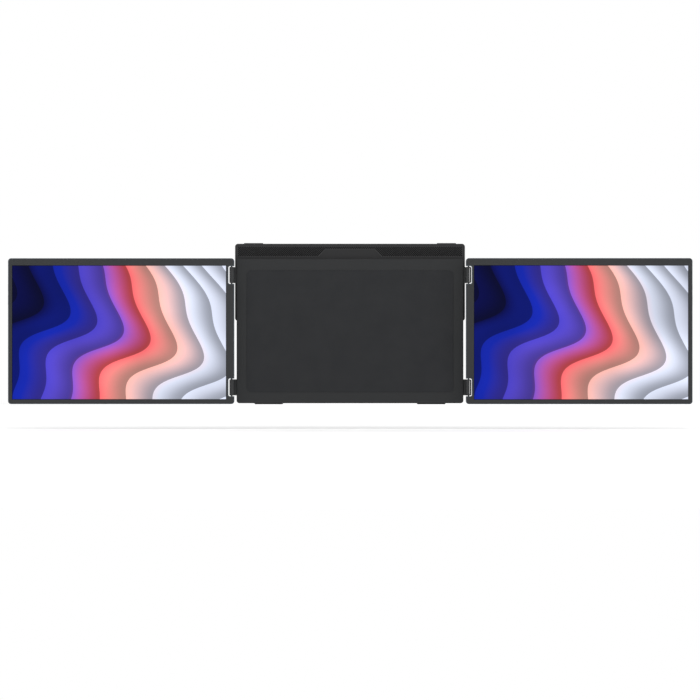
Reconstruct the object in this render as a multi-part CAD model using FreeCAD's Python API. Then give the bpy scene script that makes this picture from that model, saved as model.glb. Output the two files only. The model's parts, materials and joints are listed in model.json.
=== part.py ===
"""Folding pair of side screens on a centre frame with a rear stand.

X runs to the viewer's right, Y to the back and Z up, in millimetres. The origin is the middle of the
front pad's front face, on which the frame is hung. Both screens stand flat open and the stand is
flipped up, so that its free end shows above the frame.

Each screen is built once in its own frame and set in place twice: its X is measured outward from the
hinge axis, its Y backward from the middle of its thickness, and its Z up from the middle of its height.
"""

import FreeCAD
import Part
import os

V = FreeCAD.Vector

# Fits, clearances, and how far joined pieces lap and cutters run past a face
cover_fit = 0.15
run_fit = 0.05
seat_fit = 0.01
part_gap = 0.3
glue_gap = 0.1
overlap = 0.1
beyond = 1.0

# Display panel: its dark border round the lit area, and its layers
panel_border = 1.9
cell_t = 1.2
backlight_t = 1.8

# Screen housing: how much it is set in at a side and laps over at an end of the frame when shut, the
# bezel's widths beside its window, then the cover
screen_side_inset = 0.7
screen_end_lap = 1.05
bezel_outer = 5.6
bezel_inner = 11.2
bezel_top = 10.0
bezel_bottom = 6.4
window_margin = 0.5
bezel_t = 1.0
screen_t = 9.0
screen_corner_r = 4.3
cover_wall = 1.1
cover_floor = 1.2
cover_edge_r = 1.0

# Screen hinges: each arm ends in a tongue, bored for the pin that crosses a notch in the screen
axis_inset = 3.7
arm_reach = 6.8
notch_drop = 22.5
notch_h = 25.0
notch_r = 2.2
tongue_end_gap = 1.15
tongue_half = 3.1
tongue_corner_r = 1.2
tongue_side_gap = 1.6
long_tongue_reach = 3.9
long_tongue_corner_r = 2.0
tongue_slot_w = 0.5
tongue_slot_x = 1.45
tongue_slot_end = 1.6
pin_r = 1.2
block_len = 6.6
block_floor = 0.5
block_w = 7.4
block_screw_edge = 0.4
block_screw_end = 1.4
block_screw_depth = 3.0
arm_t = 3.0
arm_leg_in = 42.0
arm_front_gap = 0.4
arm_screw_out = 12.0
arm_screw_in = 8.0
arm_screw_z = 6.0

# Centre frame: its width and height also set those of the screens, which lie on it when shut
body_half_w = 160.4
body_half_h = 101.9
body_corner_r = 4.0
body_edge_r = 0.8
pad_side_inset = 14.4
pad_end_inset = 15.9
pad_r = 6.0
pad_t = 1.2
pad_proud = 0.5
front_t = 1.6
rear_t = 1.3
chassis_t = 1.5
chassis_side_gap = 1.0
layer_gap = 0.8

# Stand: a plate on a rear axis, seated in a recess when shut
stand_side_lap = 2.5
stand_len = 112.6
stand_end_inset = 0.7
stand_t = 3.0
stand_seat_gap = 0.4
stand_face_gap = 0.3
stand_root_gap = 0.8
stand_corner_r = 4.3
stand_edge_r = 0.5
knuckle_r = 2.4
knuckle_w = 10.0
knuckle_gap = 0.6
rod_r = 1.5
bracket_inset = 55.4
bracket_w = 18.0
bracket_foot = 9.0
bracket_foot_t = 2.0
bracket_screw_half = 5.0
bracket_screw_foot = 3.2
bracket_screw_cover = 0.4
bracket_notch_gap = 0.6
knuckle_web_lap = 1.5

# Perforated strip at the stand's free end, and the plain trapezoid left in it
strip_rim_side = 2.9
strip_rim_end = 3.1
strip_h = 15.5
strip_t = 0.8
trapezoid_h = 10.5
trapezoid_half_top = 34.8
trapezoid_half_foot = 45.0

# Rubber foot strips of the stand and of the frame
foot_inset = 12.8
foot_len = 26.9
foot_w = 2.0
foot_proud = 0.95
foot_root = 0.8
foot_edge_r = 0.4
base_foot_inset = 25.4
base_foot_len = 40.0
base_foot_w = 3.2
base_foot_proud = 1.5
base_foot_root = 0.6

# Sockets and controls in each screen's outer edge, by their heights
usb_c_heights = (16.0, 0.0)
usb_c_w = 9.0
hdmi_height = -18.0
hdmi_w = 11.2
socket_t = 3.2
socket_len = 7.3
socket_shell = 0.3
socket_back = 0.8
tongue_setback = 1.6
usb_c_tongue = (6.7, 0.7)
hdmi_tongue = (8.6, 0.9)
power_height = 62.0
power_len = 9.0
rocker_height = 44.0
rocker_len = 14.0
key_t = 2.4
key_proud = 0.4
key_flange = 1.1
key_flange_rim = 0.6
key_window_fit = 0.2
key_edge_r = 0.25
switch_size = (3.9, 1.5, 4.0)
switch_inset = 2.4
socket_inset = 0.4
rocker_pin_r = 0.5
rocker_pin_inset = 1.15
rocker_flange_gap = 0.65
rib_t = 1.0
rib_half = 1.5

# Boards, cable, speaker and magnets in each screen
board_w = 28.0
board_inset = 4.7
board_t = 1.0
board_rear_gap = 1.1
board_end_margin = 6.0
board_screw_left = 4.0
board_screw_right = 8.0
board_screw_top = 14.0
board_screw_rise = 8.0
board_screw_head = 0.7
chip_t = 1.0
chips = ((0.42, 0.25, 14.0), (0.36, 0.55, 9.8), (0.3, 0.78, 7.0))
driver_top_gap = 0.5
driver_inset = 113.9
driver_lap = 7.0
driver_h = 14.0
cable_w = 12.0
cable_t = 0.2
cable_lap = 4.0
cable_side_gap = 1.0
cable_plug_gap = 2.0
speaker_x0 = 24.0
speaker_w = 34.0
speaker_h = 14.0
speaker_t = 3.2
speaker_rise = 6.0
speaker_corner_r = 2.0
slot_count = 7
slot_w = 1.4
slot_h = 9.0
slot_pitch = 4.0
magnet_w = 2.5
magnet_h = 7.0
magnet_t = 2.4
magnet_drop = 6.1
magnet_wall_gap = 0.2

# Magnets behind the front pad
disc_r = 9.0
disc_x = 90.0
disc_z = 35.0

# Screws: shank radius, head radius and head height
small_screw = (0.8, 1.6, 0.8)
arm_screw = (1.5, 2.7, 1.3)
cover_screw = (1.25, 2.3, 1.1)
head_sink = 0.1
screw_end_gap = 0.2
board_hole_end = 0.5
boss_r = 3.5
board_boss_r = 2.2
boss_side_inset = 28.4
boss_side_z = 52.0
boss_end_inset = 17.9
boss_end_x = 45.0

# Screen frame, worked out from the sizes above
screen_w = 2 * (body_half_w - screen_side_inset)
screen_h = 2 * (body_half_h + screen_end_lap)
x_in = -axis_inset
x_out = x_in + screen_w
z_low = -screen_h / 2
z_high = screen_h / 2
y_face = -screen_t / 2
y_rear = screen_t / 2
y_bezel = y_face + bezel_t
y_floor = y_rear - cover_floor
x_wall = x_out - cover_wall
window_x0 = x_in + bezel_inner
window_x1 = x_out - bezel_outer
window_z0 = z_low + bezel_bottom
window_z1 = z_high - bezel_top
panel_x0 = window_x0 + window_margin - panel_border
panel_x1 = window_x1 - window_margin + panel_border
panel_z0 = window_z0 + window_margin - panel_border
panel_z1 = window_z1 - window_margin + panel_border
y_cell = y_bezel + glue_gap
y_light = y_cell + cell_t
y_light_rear = y_light + backlight_t
notch_z = body_half_h - notch_drop
notch_wall_x = tongue_half + tongue_side_gap
tongue_len = notch_h - 2 * tongue_end_gap
block_x0 = x_in + cover_wall + part_gap

# Boards and controls in the screen frame
board_y1 = y_floor - board_rear_gap
board_y0 = board_y1 - board_t
board_x1 = x_out - board_inset
board_x0 = board_x1 - board_w
driver_x0 = panel_x0 + driver_inset
driver_x1 = board_x0 + driver_lap
magnet_z = body_half_h - magnet_drop
board_z0 = hdmi_height - hdmi_w / 2 - board_end_margin
board_z1 = power_height + power_len / 2 + board_end_margin
socket_y = (y_light_rear + y_floor) / 2
socket_x1 = x_out - socket_inset
socket_x0 = socket_x1 - socket_len
switch_x1 = x_wall - switch_inset
key_y = board_y0 - switch_size[1] / 2
rocker_axis_x = x_wall - rocker_pin_inset

# Layers of the centre frame, from the front to the back
hinge_x = body_half_w + arm_reach
pad_half_w = body_half_w - pad_side_inset
pad_half_h = body_half_h - pad_end_inset
boss_side_x = body_half_w - boss_side_inset
boss_end_z = body_half_h - boss_end_inset
boss_places = [(side * x, end * z) for side in (-1, 1) for end in (-1, 1)
               for x, z in ((boss_side_x, boss_side_z), (boss_end_x, boss_end_z))]
base_foot_x1 = body_half_w - base_foot_inset
y_front = pad_proud
y_inner = y_front + front_t
y_arm = y_inner + arm_front_gap
y_arm_back = y_arm + arm_t
y_chassis_back = y_arm_back + chassis_t
y_floor_in = y_chassis_back + part_gap
y_recess = y_floor_in + rear_t
y_back = y_recess + stand_seat_gap + stand_t
left_axis_y = -layer_gap - screen_t / 2
right_axis_y = left_axis_y - layer_gap - screen_t

# Stand, flipped up: its axis lies so that its free end meets the frame's foot when shut
stand_half_w = body_half_w + stand_side_lap
stand_axis_z = stand_len + stand_end_inset - body_half_h
bracket_x = body_half_w - bracket_inset
foot_x1 = stand_half_w - foot_inset
stand_axis_y = y_back + stand_face_gap / 2
stand_y0 = y_back + stand_face_gap
stand_y1 = stand_y0 + stand_t
stand_edge_z = stand_axis_z + stand_len
stand_root_z = stand_axis_z + knuckle_r + stand_root_gap
recess_z = stand_axis_z + knuckle_r + knuckle_gap
strip_z1 = stand_edge_z - strip_rim_end
strip_z0 = strip_z1 - strip_h


def box(x0, x1, y0, y1, z0, z1):
    """Block between two opposite corners."""
    return Part.makeBox(x1 - x0, y1 - y0, z1 - z0, V(x0, y0, z0))


def slab(x0, x1, y0, y1, z0, z1, corner_r):
    """Block with its four edges along Y rounded."""
    solid = box(x0, x1, y0, y1, z0, z1)
    along_y = [e for e in solid.Edges if abs(e.Length - (y1 - y0)) < 1e-6 and is_along_y(e)]
    return solid.makeFillet(corner_r, along_y)


def is_along_y(edge):
    """True if a straight edge runs front to back."""
    a, b = edge.Vertexes[0].Point, edge.Vertexes[-1].Point
    return abs(a.x - b.x) < 1e-6 and abs(a.z - b.z) < 1e-6


def eased(solid, y, radius):
    """Rounds every edge that lies in the plane at one depth."""
    edges = [e for e in solid.Edges if all(abs(v.Y - y) < 1e-6 for v in e.Vertexes)]
    return solid.makeFillet(radius, edges)


def rod_x(x0, x1, y, z, r):
    """Round bar along X."""
    return Part.makeCylinder(r, x1 - x0, V(x0, y, z), V(1, 0, 0))


def rod_y(x, y0, y1, z, r):
    """Round bar along Y."""
    return Part.makeCylinder(r, y1 - y0, V(x, y0, z), V(0, 1, 0))


def rod_z(x, y, z0, z1, r):
    """Round bar along Z."""
    return Part.makeCylinder(r, z1 - z0, V(x, y, z0), V(0, 0, 1))


def screw(x, z, y_head, y_tip, size, grow=0.0):
    """Flat-head screw along Y, its head's top at y_head; grow widens it all round, for its hole."""
    shank_r, head_r, head_h = size
    way = 1 if y_tip > y_head else -1
    base = V(x, y_head, z)
    aim = V(0, way, 0)
    head = Part.makeCone(head_r + grow, shank_r + grow, head_h, base, aim)
    shank = Part.makeCylinder(shank_r + grow, abs(y_tip - y_head), base, aim)
    return head.fuse(shank).removeSplitter()


def screw_hole(x, z, y_head, y_tip, size, y_mouth):
    """Countersunk hole for a screw, opened out to the surface at y_mouth."""
    hole = screw(x, z, y_head, y_tip, size, run_fit)
    low, high = min(y_head, y_mouth), max(y_head, y_mouth)
    return hole.fuse(rod_y(x, low, high, z, size[1] + run_fit))


def fused(shapes):
    """One solid of several."""
    first, *others = shapes
    return first.fuse(others).removeSplitter() if others else first


def without(solid, cutters):
    """A solid less a list of cutters."""
    return solid.cut(cutters) if cutters else solid


def group(shapes):
    """Several separate pieces in one node."""
    return Part.makeCompound(shapes)


def both_notches(grow):
    """The two hinge notches of a screen, grown by a wall or a clearance."""
    notches = []
    mouth = x_in - 2 * (notch_r + grow)
    for z in (notch_z, -notch_z):
        half = notch_h / 2 + grow
        notches.append(slab(mouth, notch_wall_x + grow, y_face - beyond, y_rear + beyond, z - half, z + half,
                            notch_r + grow))
    return notches


# Screen housing


def screen_rear_cover():
    """Tray of the screen: floor behind, rim all round the bezel, walls round the notches."""
    outer = slab(x_in, x_out, y_face, y_rear, z_low, z_high, screen_corner_r)
    outer = eased(outer, y_rear, cover_edge_r)
    outer = without(outer, both_notches(0))
    inner_r = screen_corner_r - cover_wall
    cavity = slab(x_in + cover_wall, x_wall, y_face - beyond, y_floor,
                  z_low + cover_wall, z_high - cover_wall, inner_r)
    cavity = without(cavity, both_notches(cover_wall))
    tray = outer.cut(cavity)
    bosses = [rod_y(x, board_y1, y_floor + overlap, z, board_boss_r) for x, z in board_screw_places()]
    tray = fused([tray] + bosses + rocker_ribs())
    return without(tray, cover_holes())


def cover_holes():
    """Every opening in the tray: pins, screws, sockets, keys and speaker slots."""
    holes = []
    for z in (notch_z, -notch_z):
        reach = notch_h / 2 + cover_wall + overlap
        holes.append(rod_z(0, 0, z - reach, z + reach, pin_r + cover_fit))
    for x, z in hinge_screw_places():
        holes.append(screw_hole(x, z, y_rear - head_sink, y_floor - beyond, small_screw, y_rear + beyond))
    for x, z in board_screw_places():
        holes.append(rod_y(x, board_y1 - overlap, y_rear - board_hole_end, z, small_screw[0]))
    for z in usb_c_heights:
        holes.append(socket_prism(z, usb_c_w, cover_fit, x_wall - beyond, x_out + beyond))
    holes.append(socket_prism(hdmi_height, hdmi_w, cover_fit, x_wall - beyond, x_out + beyond))
    holes.append(key_window(power_height, power_len))
    holes.append(key_window(rocker_height, rocker_len))
    first_slot = speaker_x0 + (speaker_w - (slot_count - 1) * slot_pitch) / 2
    for k in range(slot_count):
        x = first_slot + k * slot_pitch
        middle = speaker_z0() + speaker_h / 2
        holes.append(slab(x - slot_w / 2, x + slot_w / 2, y_floor - beyond, y_rear + beyond,
                          middle - slot_h / 2, middle + slot_h / 2, slot_w / 2 - seat_fit))
    return holes


def key_window(height, length):
    """Opening in the outer wall for a key."""
    half = length / 2 + key_window_fit
    reach = key_t / 2 + key_window_fit
    return box(x_wall - overlap, x_out + beyond, key_y - reach, key_y + reach, height - half, height + half)


def screen_bezel():
    """Front frame round the display, inside the tray's rim."""
    inset = cover_wall + cover_fit
    ring = slab(x_in + inset, x_out - inset, y_face, y_bezel, z_low + inset, z_high - inset,
                screen_corner_r - inset)
    window = box(window_x0, window_x1, y_face - beyond, y_bezel + beyond, window_z0, window_z1)
    return without(ring, [window] + both_notches(inset))


def display_cell():
    """Display glass with the lit area in its middle."""
    return box(panel_x0, panel_x1, y_cell, y_light, panel_z0, panel_z1)


def backlight():
    """Light guide and films in their metal tray, behind the display glass."""
    return box(panel_x0, panel_x1, y_light, y_light_rear, panel_z0, panel_z1)


def driver_board():
    """Narrow board on the back of the backlight that drives the display's rows and columns."""
    top = panel_z1 - driver_top_gap
    return box(driver_x0, driver_x1, y_light_rear, y_light_rear + board_t, top - driver_h, top)


def display_cable():
    """Flat cable from the driver board down to its plug on the control board."""
    x1 = driver_x1 - cable_side_gap
    y0 = y_light_rear + board_t
    z_top = panel_z1 - driver_top_gap - driver_h + cable_lap
    z_foot = board_z1 - cable_lap - cable_plug_gap
    strip = box(x1 - cable_w, x1, y0, y0 + cable_t, z_foot, z_top)
    plug = box(x1 - cable_w, x1, y0 + cable_t, board_y0, z_foot, z_foot + cable_lap)
    return fused([strip, plug])


# Controls and sockets of a screen


def board_screw_places():
    """Three fixing points of the control board."""
    left = board_x0 + board_screw_left
    right = board_x1 - board_screw_right
    middle = (board_z0 + board_z1) / 2
    return ((left, board_z0 + board_screw_left), (left, board_z1 - board_screw_top),
            (right, middle + board_screw_rise))


def control_board():
    """Control board with its picture and power chips, cut away round the sockets."""
    board = box(board_x0, board_x1, board_y0, board_y1, board_z0, board_z1)
    cutters = [rod_y(x, board_y0 - beyond, board_y1 + beyond, z, small_screw[0] + cover_fit)
               for x, z in board_screw_places()]
    widths = [(z, usb_c_w) for z in usb_c_heights] + [(hdmi_height, hdmi_w)]
    for z, width in widths:
        half = width / 2 + cover_fit
        cutters.append(box(socket_x0 - cover_fit, board_x1 + beyond, board_y0 - beyond, board_y1 + beyond,
                           z - half, z + half))
    board = without(board, cutters)
    blocks = []
    for x, z, size in chips:
        cx = board_x0 + x * board_w
        cz = board_z0 + z * (board_z1 - board_z0)
        blocks.append(box(cx - size / 2, cx + size / 2, board_y0 - chip_t, board_y0,
                          cz - size / 2, cz + size / 2))
    return fused([board] + blocks)


def board_screws():
    """Pan-head screws that hold the control board on the tray's bosses."""
    screws = []
    for x, z in board_screw_places():
        shank = rod_y(x, board_y0, y_floor + part_gap, z, small_screw[0] - seat_fit)
        head = rod_y(x, board_y0 - board_screw_head, board_y0, z, small_screw[1])
        screws.append(fused([head, shank]))
    return group(screws)


def socket_prism(height, width, grow, x0, x1):
    """Body of a flat socket along X, its edges rounded, grown by a clearance."""
    half_w = width / 2 + grow
    half_t = socket_t / 2 + grow
    solid = box(x0, x1, socket_y - half_t, socket_y + half_t, height - half_w, height + half_w)
    along_x = [e for e in solid.Edges if abs(e.Length - (x1 - x0)) < 1e-6]
    return solid.makeFillet(half_t * 0.8, along_x)


def socket(height, width, tongue):
    """Drawn metal shell, closed behind, with the contact tongue in its middle."""
    half_w, half_t = tongue[0] / 2, tongue[1] / 2
    outer = socket_prism(height, width, 0, socket_x0, socket_x1)
    bore = socket_prism(height, width, -socket_shell, socket_x0 + socket_back, socket_x1 + beyond)
    leaf = box(socket_x0 + socket_shell, socket_x1 - tongue_setback, socket_y - half_t, socket_y + half_t,
               height - half_w, height + half_w)
    return fused([outer.cut(bore), leaf])


def usb_c_sockets():
    """The two identical power and picture sockets."""
    return group([socket(z, usb_c_w, usb_c_tongue) for z in usb_c_heights])


def mini_hdmi_socket():
    """The picture socket below them."""
    return socket(hdmi_height, hdmi_w, hdmi_tongue)


def button_switches():
    """Side-push switches on the board: one behind the power key, two behind the rocker's ends."""
    deep, thick, tall = switch_size
    reach = (rocker_len - tall) / 2
    return group([box(switch_x1 - deep, switch_x1, board_y0 - thick, board_y0, z - tall / 2, z + tall / 2)
                  for z in (power_height, rocker_height + reach, rocker_height - reach)])


def key(height, length, x_back, x_flange):
    """Key cap through the outer wall with the flange that keeps it in."""
    reach = key_t / 2
    cap = box(x_back, x_out + key_proud, key_y - reach, key_y + reach,
              height - length / 2, height + length / 2)
    outer = [e for e in cap.Edges if all(abs(v.X - (x_out + key_proud)) < 1e-6 for v in e.Vertexes)]
    cap = cap.makeFillet(key_edge_r, outer)
    rim = key_flange_rim
    flange = box(x_back, x_flange, key_y - reach - rim / 2, key_y + reach + rim / 2,
                 height - length / 2 - rim, height + length / 2 + rim)
    return fused([cap, flange])


def power_button():
    """Push key at the top of the outer edge."""
    x_flange = x_wall - part_gap
    return key(power_height, power_len, x_flange - key_flange, x_flange)


def menu_rocker():
    """Rocking key below it, with its own pivot pin."""
    x_flange = x_wall - rocker_flange_gap
    rocker = key(rocker_height, rocker_len, x_flange - key_flange, x_flange)
    pin = rod_y(rocker_axis_x, rocker_rib_depths()[0][0] + overlap, y_floor - overlap, rocker_height,
                rocker_pin_r)
    return fused([rocker, pin])


def rocker_rib_depths():
    """Depths of the front and rear rib that carry the rocker's pin."""
    reach = (key_t + key_flange_rim) / 2 + key_window_fit
    return ((key_y - reach - rib_t, key_y - reach), (key_y + reach, y_floor + overlap))


def rocker_ribs():
    """Two ribs on the tray's outer wall that carry the rocker's pin."""
    ribs = []
    for y0, y1 in rocker_rib_depths():
        rib = box(rocker_axis_x - rib_t, x_wall + overlap, y0, y1,
                  rocker_height - rib_half, rocker_height + rib_half)
        ribs.append(rib.cut(rod_y(rocker_axis_x, y0 - beyond, min(y1, y_floor), rocker_height,
                                  rocker_pin_r + run_fit)))
    return ribs


def speaker_z0():
    """Lower edge of the speaker, just above the tray's lower wall."""
    return z_low + cover_wall + speaker_rise


def speaker():
    """Flat speaker on the tray's floor, behind its slots."""
    z0 = speaker_z0()
    return slab(speaker_x0, speaker_x0 + speaker_w, y_floor - speaker_t, y_floor, z0, z0 + speaker_h,
                speaker_corner_r)


def closure_magnets():
    """Bar magnets in the outer corners, behind the bezel, that hold the screen shut."""
    x1 = x_wall - magnet_wall_gap
    bars = []
    for z in (magnet_z, -magnet_z):
        bars.append(box(x1 - magnet_w, x1, y_cell, y_cell + magnet_t, z - magnet_h / 2, z + magnet_h / 2))
    return group(bars)


# Screen hinges, in the screen frame


def block_spans():
    """Heights of the four pin blocks, above and below each notch."""
    near = notch_h / 2 + cover_wall + glue_gap
    spans = []
    for z in (notch_z, -notch_z):
        spans.append((z + near, z + near + block_len))
        spans.append((z - near - block_len, z - near))
    return spans


def hinge_screw_places():
    """Two fixing screws for each pin block."""
    places = []
    x = block_x0 + block_w - small_screw[1] - block_screw_edge
    for z0, z1 in block_spans():
        places.append((x, z0 + block_screw_end))
        places.append((x, z1 - block_screw_end))
    return places


def hinge_blocks():
    """Blocks on the tray's floor that hold the ends of the pins."""
    blocks = []
    for z0, z1 in block_spans():
        block = box(block_x0, block_x0 + block_w, y_bezel + part_gap, y_floor, z0, z1)
        nearest = notch_z if z0 > 0 else -notch_z
        opens_down = abs(z0 - nearest) < abs(z1 - nearest)
        low = z0 - overlap if opens_down else z0 + block_floor
        high = z1 - block_floor if opens_down else z1 + overlap
        bore = rod_z(0, 0, low, high, pin_r + seat_fit)
        holes = [screw(x, z, y_rear, small_screw_tip(), small_screw, run_fit)
                 for x, z in hinge_screw_places() if z0 < z < z1]
        blocks.append(block.cut([bore] + holes))
    return group(blocks)


def small_screw_tip():
    """Depth that the block screws reach."""
    return y_floor - block_screw_depth


def hinge_screws():
    """Flat-head screws through the tray's floor into the pin blocks."""
    return group([screw(x, z, y_rear - head_sink, small_screw_tip() + overlap, small_screw)
                  for x, z in hinge_screw_places()])


def hinge_pins():
    """One pin across each notch, from block to block."""
    half = notch_h / 2 + cover_wall + glue_gap + block_len - block_floor - overlap
    return group([rod_z(0, 0, z - half, z + half, pin_r) for z in (notch_z, -notch_z)])


def arm_screw_places():
    """Four fixing points of an arm's leg, outward from the hinge axis and up from its middle."""
    outer = -arm_reach - arm_screw_out
    inner = -arm_reach - arm_leg_in + arm_screw_in
    return [(x, z) for x in (outer, inner) for z in (-arm_screw_z, arm_screw_z)]


def rounded_tongue(reach, depth, corner_r, half):
    """Block about the hinge axis, rounded all round its outer end and at its inner front edge."""
    block = box(-tongue_half, reach, -tongue_half, depth, -half, half)
    outer_end = [e for e in block.Edges if all(abs(v.X - reach) < 1e-6 for v in e.Vertexes)]
    inner_front = [e for e in block.Edges if all(abs(v.X + tongue_half) < 1e-6
                                                 and abs(v.Y + tongue_half) < 1e-6 for v in e.Vertexes)]
    return block.makeFillet(corner_r, outer_end + inner_front)


def hinge_arm(axis_y, is_long):
    """Bored tongue on the hinge axis, its post to the back and its leg into the centre frame.

    The longer arm's tongue reaches further out and has a slot from front to back beside its pin, which
    leaves a thin outer leaf; its post stays clear of the slot.
    """
    half = tongue_len / 2
    front = y_arm - axis_y
    back = y_arm_back - axis_y
    reach = long_tongue_reach if is_long else tongue_half
    corner_r = long_tongue_corner_r if is_long else tongue_corner_r
    tongue = rounded_tongue(reach, tongue_half, corner_r, half)
    post = rounded_tongue(tongue_slot_x if is_long else tongue_half, back, tongue_corner_r, half)
    leg = box(-arm_reach - arm_leg_in, 0, front, back, -half, half)
    arm = fused([tongue, post, leg])
    cutters = [rod_z(0, 0, -half - beyond, half + beyond, pin_r + run_fit)]
    if is_long:
        cutters.append(slab(tongue_slot_x, tongue_slot_x + tongue_slot_w,
                            -tongue_half - beyond, tongue_half + beyond,
                            -half + tongue_slot_end, half - tongue_slot_end,
                            tongue_slot_w / 2 - seat_fit))
    for x, z in arm_screw_places():
        cutters.append(screw_hole(x, z, front + head_sink, back + beyond, arm_screw, front - beyond))
    return without(arm, cutters)


def arm_screws():
    """Flat-head screws through the four arms into the chassis."""
    screws = []
    for side in (-1, 1):
        for height in (notch_z, -notch_z):
            for x, z in arm_screw_places():
                screws.append(screw(side * (hinge_x + x), height + z, y_arm + head_sink,
                                    y_chassis_back - screw_end_gap, arm_screw))
    return group(screws)


# Centre frame


def frame_slab(y0, y1, inset=0.0):
    """Outline of the centre frame between two depths."""
    return slab(-body_half_w + inset, body_half_w - inset, y0, y1,
                -body_half_h + inset, body_half_h - inset, body_corner_r - inset)


def front_pad():
    """Soft sheet set in the front cover, on which the frame is hung."""
    return slab(-pad_half_w, pad_half_w, 0, pad_t, -pad_half_h, pad_half_h, pad_r)


def front_cover():
    """Front plate of the frame, with a pocket for the pad and bosses for the cover screws."""
    plate = eased(frame_slab(y_front, y_inner), y_front, body_edge_r)
    grow = cover_fit
    pocket = slab(-pad_half_w - grow, pad_half_w + grow, y_front - beyond, pad_t,
                  -pad_half_h - grow, pad_half_h + grow, pad_r + grow)
    bosses = [rod_y(x, y_inner - overlap, y_arm_back, z, boss_r) for x, z in boss_places]
    cover = fused([plate.cut(pocket)] + bosses)
    return without(cover, [rod_y(x, y_inner - part_gap, y_arm_back + beyond, z, cover_screw[0] + seat_fit)
                           for x, z in boss_places])


def rear_cover():
    """Rear tray of the frame: full depth above, stepped in below for the shut stand."""
    outer = eased(frame_slab(y_inner, y_back), y_back, body_edge_r)
    recess = box(-body_half_w - beyond, body_half_w + beyond, y_recess, y_back + beyond,
                 -body_half_h - beyond, recess_z)
    low_room = frame_slab(y_inner - beyond, y_floor_in, rear_t)
    high_room = slab(-body_half_w + rear_t, body_half_w - rear_t, y_floor_in - beyond, y_back - rear_t,
                     recess_z + rear_t, body_half_h - rear_t, body_corner_r - rear_t)
    tray = outer.cut([recess, low_room, high_room])
    bosses = []
    for x, z in boss_places:
        depth = boss_depth(z)
        bosses.append(rod_y(x, y_chassis_back, depth + overlap, z, boss_r))
    tray = fused([tray] + bosses)
    holes = []
    for side in (-1, 1):
        for z in (notch_z, -notch_z):
            half = tongue_len / 2 + part_gap
            x0, x1 = sorted((side * (body_half_w - rear_t - beyond), side * (body_half_w + beyond)))
            holes.append(box(x0, x1, y_inner - beyond, y_arm_back + part_gap, z - half, z + half))
    for x, z in boss_places:
        mouth = boss_depth(z) + rear_t
        holes.append(screw_hole(x, z, mouth - head_sink, y_inner, cover_screw, mouth + beyond))
    for x, z in bracket_screw_places():
        holes.append(rod_y(x, y_floor_in - beyond, y_recess + beyond, z, cover_screw[0] + run_fit))
    for x0, x1 in base_foot_spans():
        holes.append(box(x0, x1, base_foot_y() - run_fit, base_foot_y() + base_foot_w + run_fit,
                         -body_half_h - beyond, -body_half_h + base_foot_root))
    return without(tray, holes)


def boss_depth(z):
    """Depth of the rear cover's inner face behind a boss."""
    return y_back - rear_t if z > recess_z else y_floor_in


def chassis():
    """Steel plate that joins the four arms and carries the stand's brackets."""
    gap = rear_t + part_gap + chassis_side_gap
    plate = frame_slab(y_arm_back, y_chassis_back, gap)
    holes = [rod_y(x, y_arm_back - beyond, y_chassis_back + beyond, z, cover_screw[0] + cover_fit)
             for x, z in boss_places]
    for side in (-1, 1):
        for height in (notch_z, -notch_z):
            for x, z in arm_screw_places():
                holes.append(rod_y(side * (hinge_x + x), y_arm_back - beyond, y_chassis_back + beyond,
                                   height + z, arm_screw[0] + seat_fit))
    for x, z in bracket_screw_places():
        holes.append(screw_hole(x, z, y_arm_back + head_sink, y_chassis_back + beyond, cover_screw,
                                y_arm_back - beyond))
    return without(plate, holes)


def cover_screws():
    """Flat-head screws from the rear cover into the front cover's bosses."""
    screws = []
    for x, z in boss_places:
        screws.append(screw(x, z, boss_depth(z) + rear_t - head_sink, y_inner + screw_end_gap, cover_screw))
    return group(screws)


def pad_magnets():
    """Four disc magnets between the front cover and the chassis, behind the pad."""
    return group([rod_y(x, y_inner, y_arm_back, z, disc_r)
                  for x in (disc_x, -disc_x) for z in (disc_z, -disc_z)])


def frame_magnets():
    """Bar magnets in the frame that meet those of the shut screens."""
    x_shut = hinge_x - (x_wall - magnet_wall_gap - magnet_w / 2)
    bars = []
    for side in (-1, 1):
        for z in (magnet_z, -magnet_z):
            x = side * x_shut
            bars.append(box(x - magnet_w / 2, x + magnet_w / 2, y_inner, y_inner + magnet_t,
                            z - magnet_h / 2, z + magnet_h / 2))
    return group(bars)


def base_foot_spans():
    """Both rubber strips under the frame, left to right."""
    x0 = base_foot_x1 - base_foot_len
    return ((-base_foot_x1, -x0), (x0, base_foot_x1))


def base_foot_y():
    """Front face of the frame's foot strips."""
    return (y_inner + y_recess - base_foot_w) / 2


def base_feet():
    """Rubber strips under the frame."""
    y0 = base_foot_y()
    return group([box(x0 + run_fit, x1 - run_fit, y0, y0 + base_foot_w,
                      -body_half_h - base_foot_proud, -body_half_h + base_foot_root)
                  for x0, x1 in base_foot_spans()])


# Stand


def bracket_screw_places():
    """Two fixing points of each stand bracket."""
    z = stand_axis_z - bracket_foot + bracket_screw_foot
    return [(side * bracket_x + dx, z) for side in (-1, 1)
            for dx in (-bracket_screw_half, bracket_screw_half)]


def stand_bracket(side):
    """Fixed half of a stand hinge: a foot on the recess floor and the barrel that holds the rod."""
    x0 = side * bracket_x - bracket_w / 2
    x1 = x0 + bracket_w
    foot = box(x0, x1, y_recess, y_recess + bracket_foot_t, stand_axis_z - bracket_foot,
               stand_axis_z + knuckle_r)
    neck = box(x0, x1, y_recess, stand_axis_y, stand_axis_z - knuckle_r, stand_axis_z + knuckle_r)
    barrel = rod_x(x0, x1, stand_axis_y, stand_axis_z, knuckle_r)
    holes = [rod_x(x0 - beyond, x1 + beyond, stand_axis_y, stand_axis_z, rod_r + seat_fit)]
    for x, z in bracket_screw_places():
        if x0 < x < x1:
            holes.append(rod_y(x, y_recess - beyond, bracket_screw_tip() + overlap, z,
                               cover_screw[0] + seat_fit))
    return without(fused([foot, neck, barrel]), holes)


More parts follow.
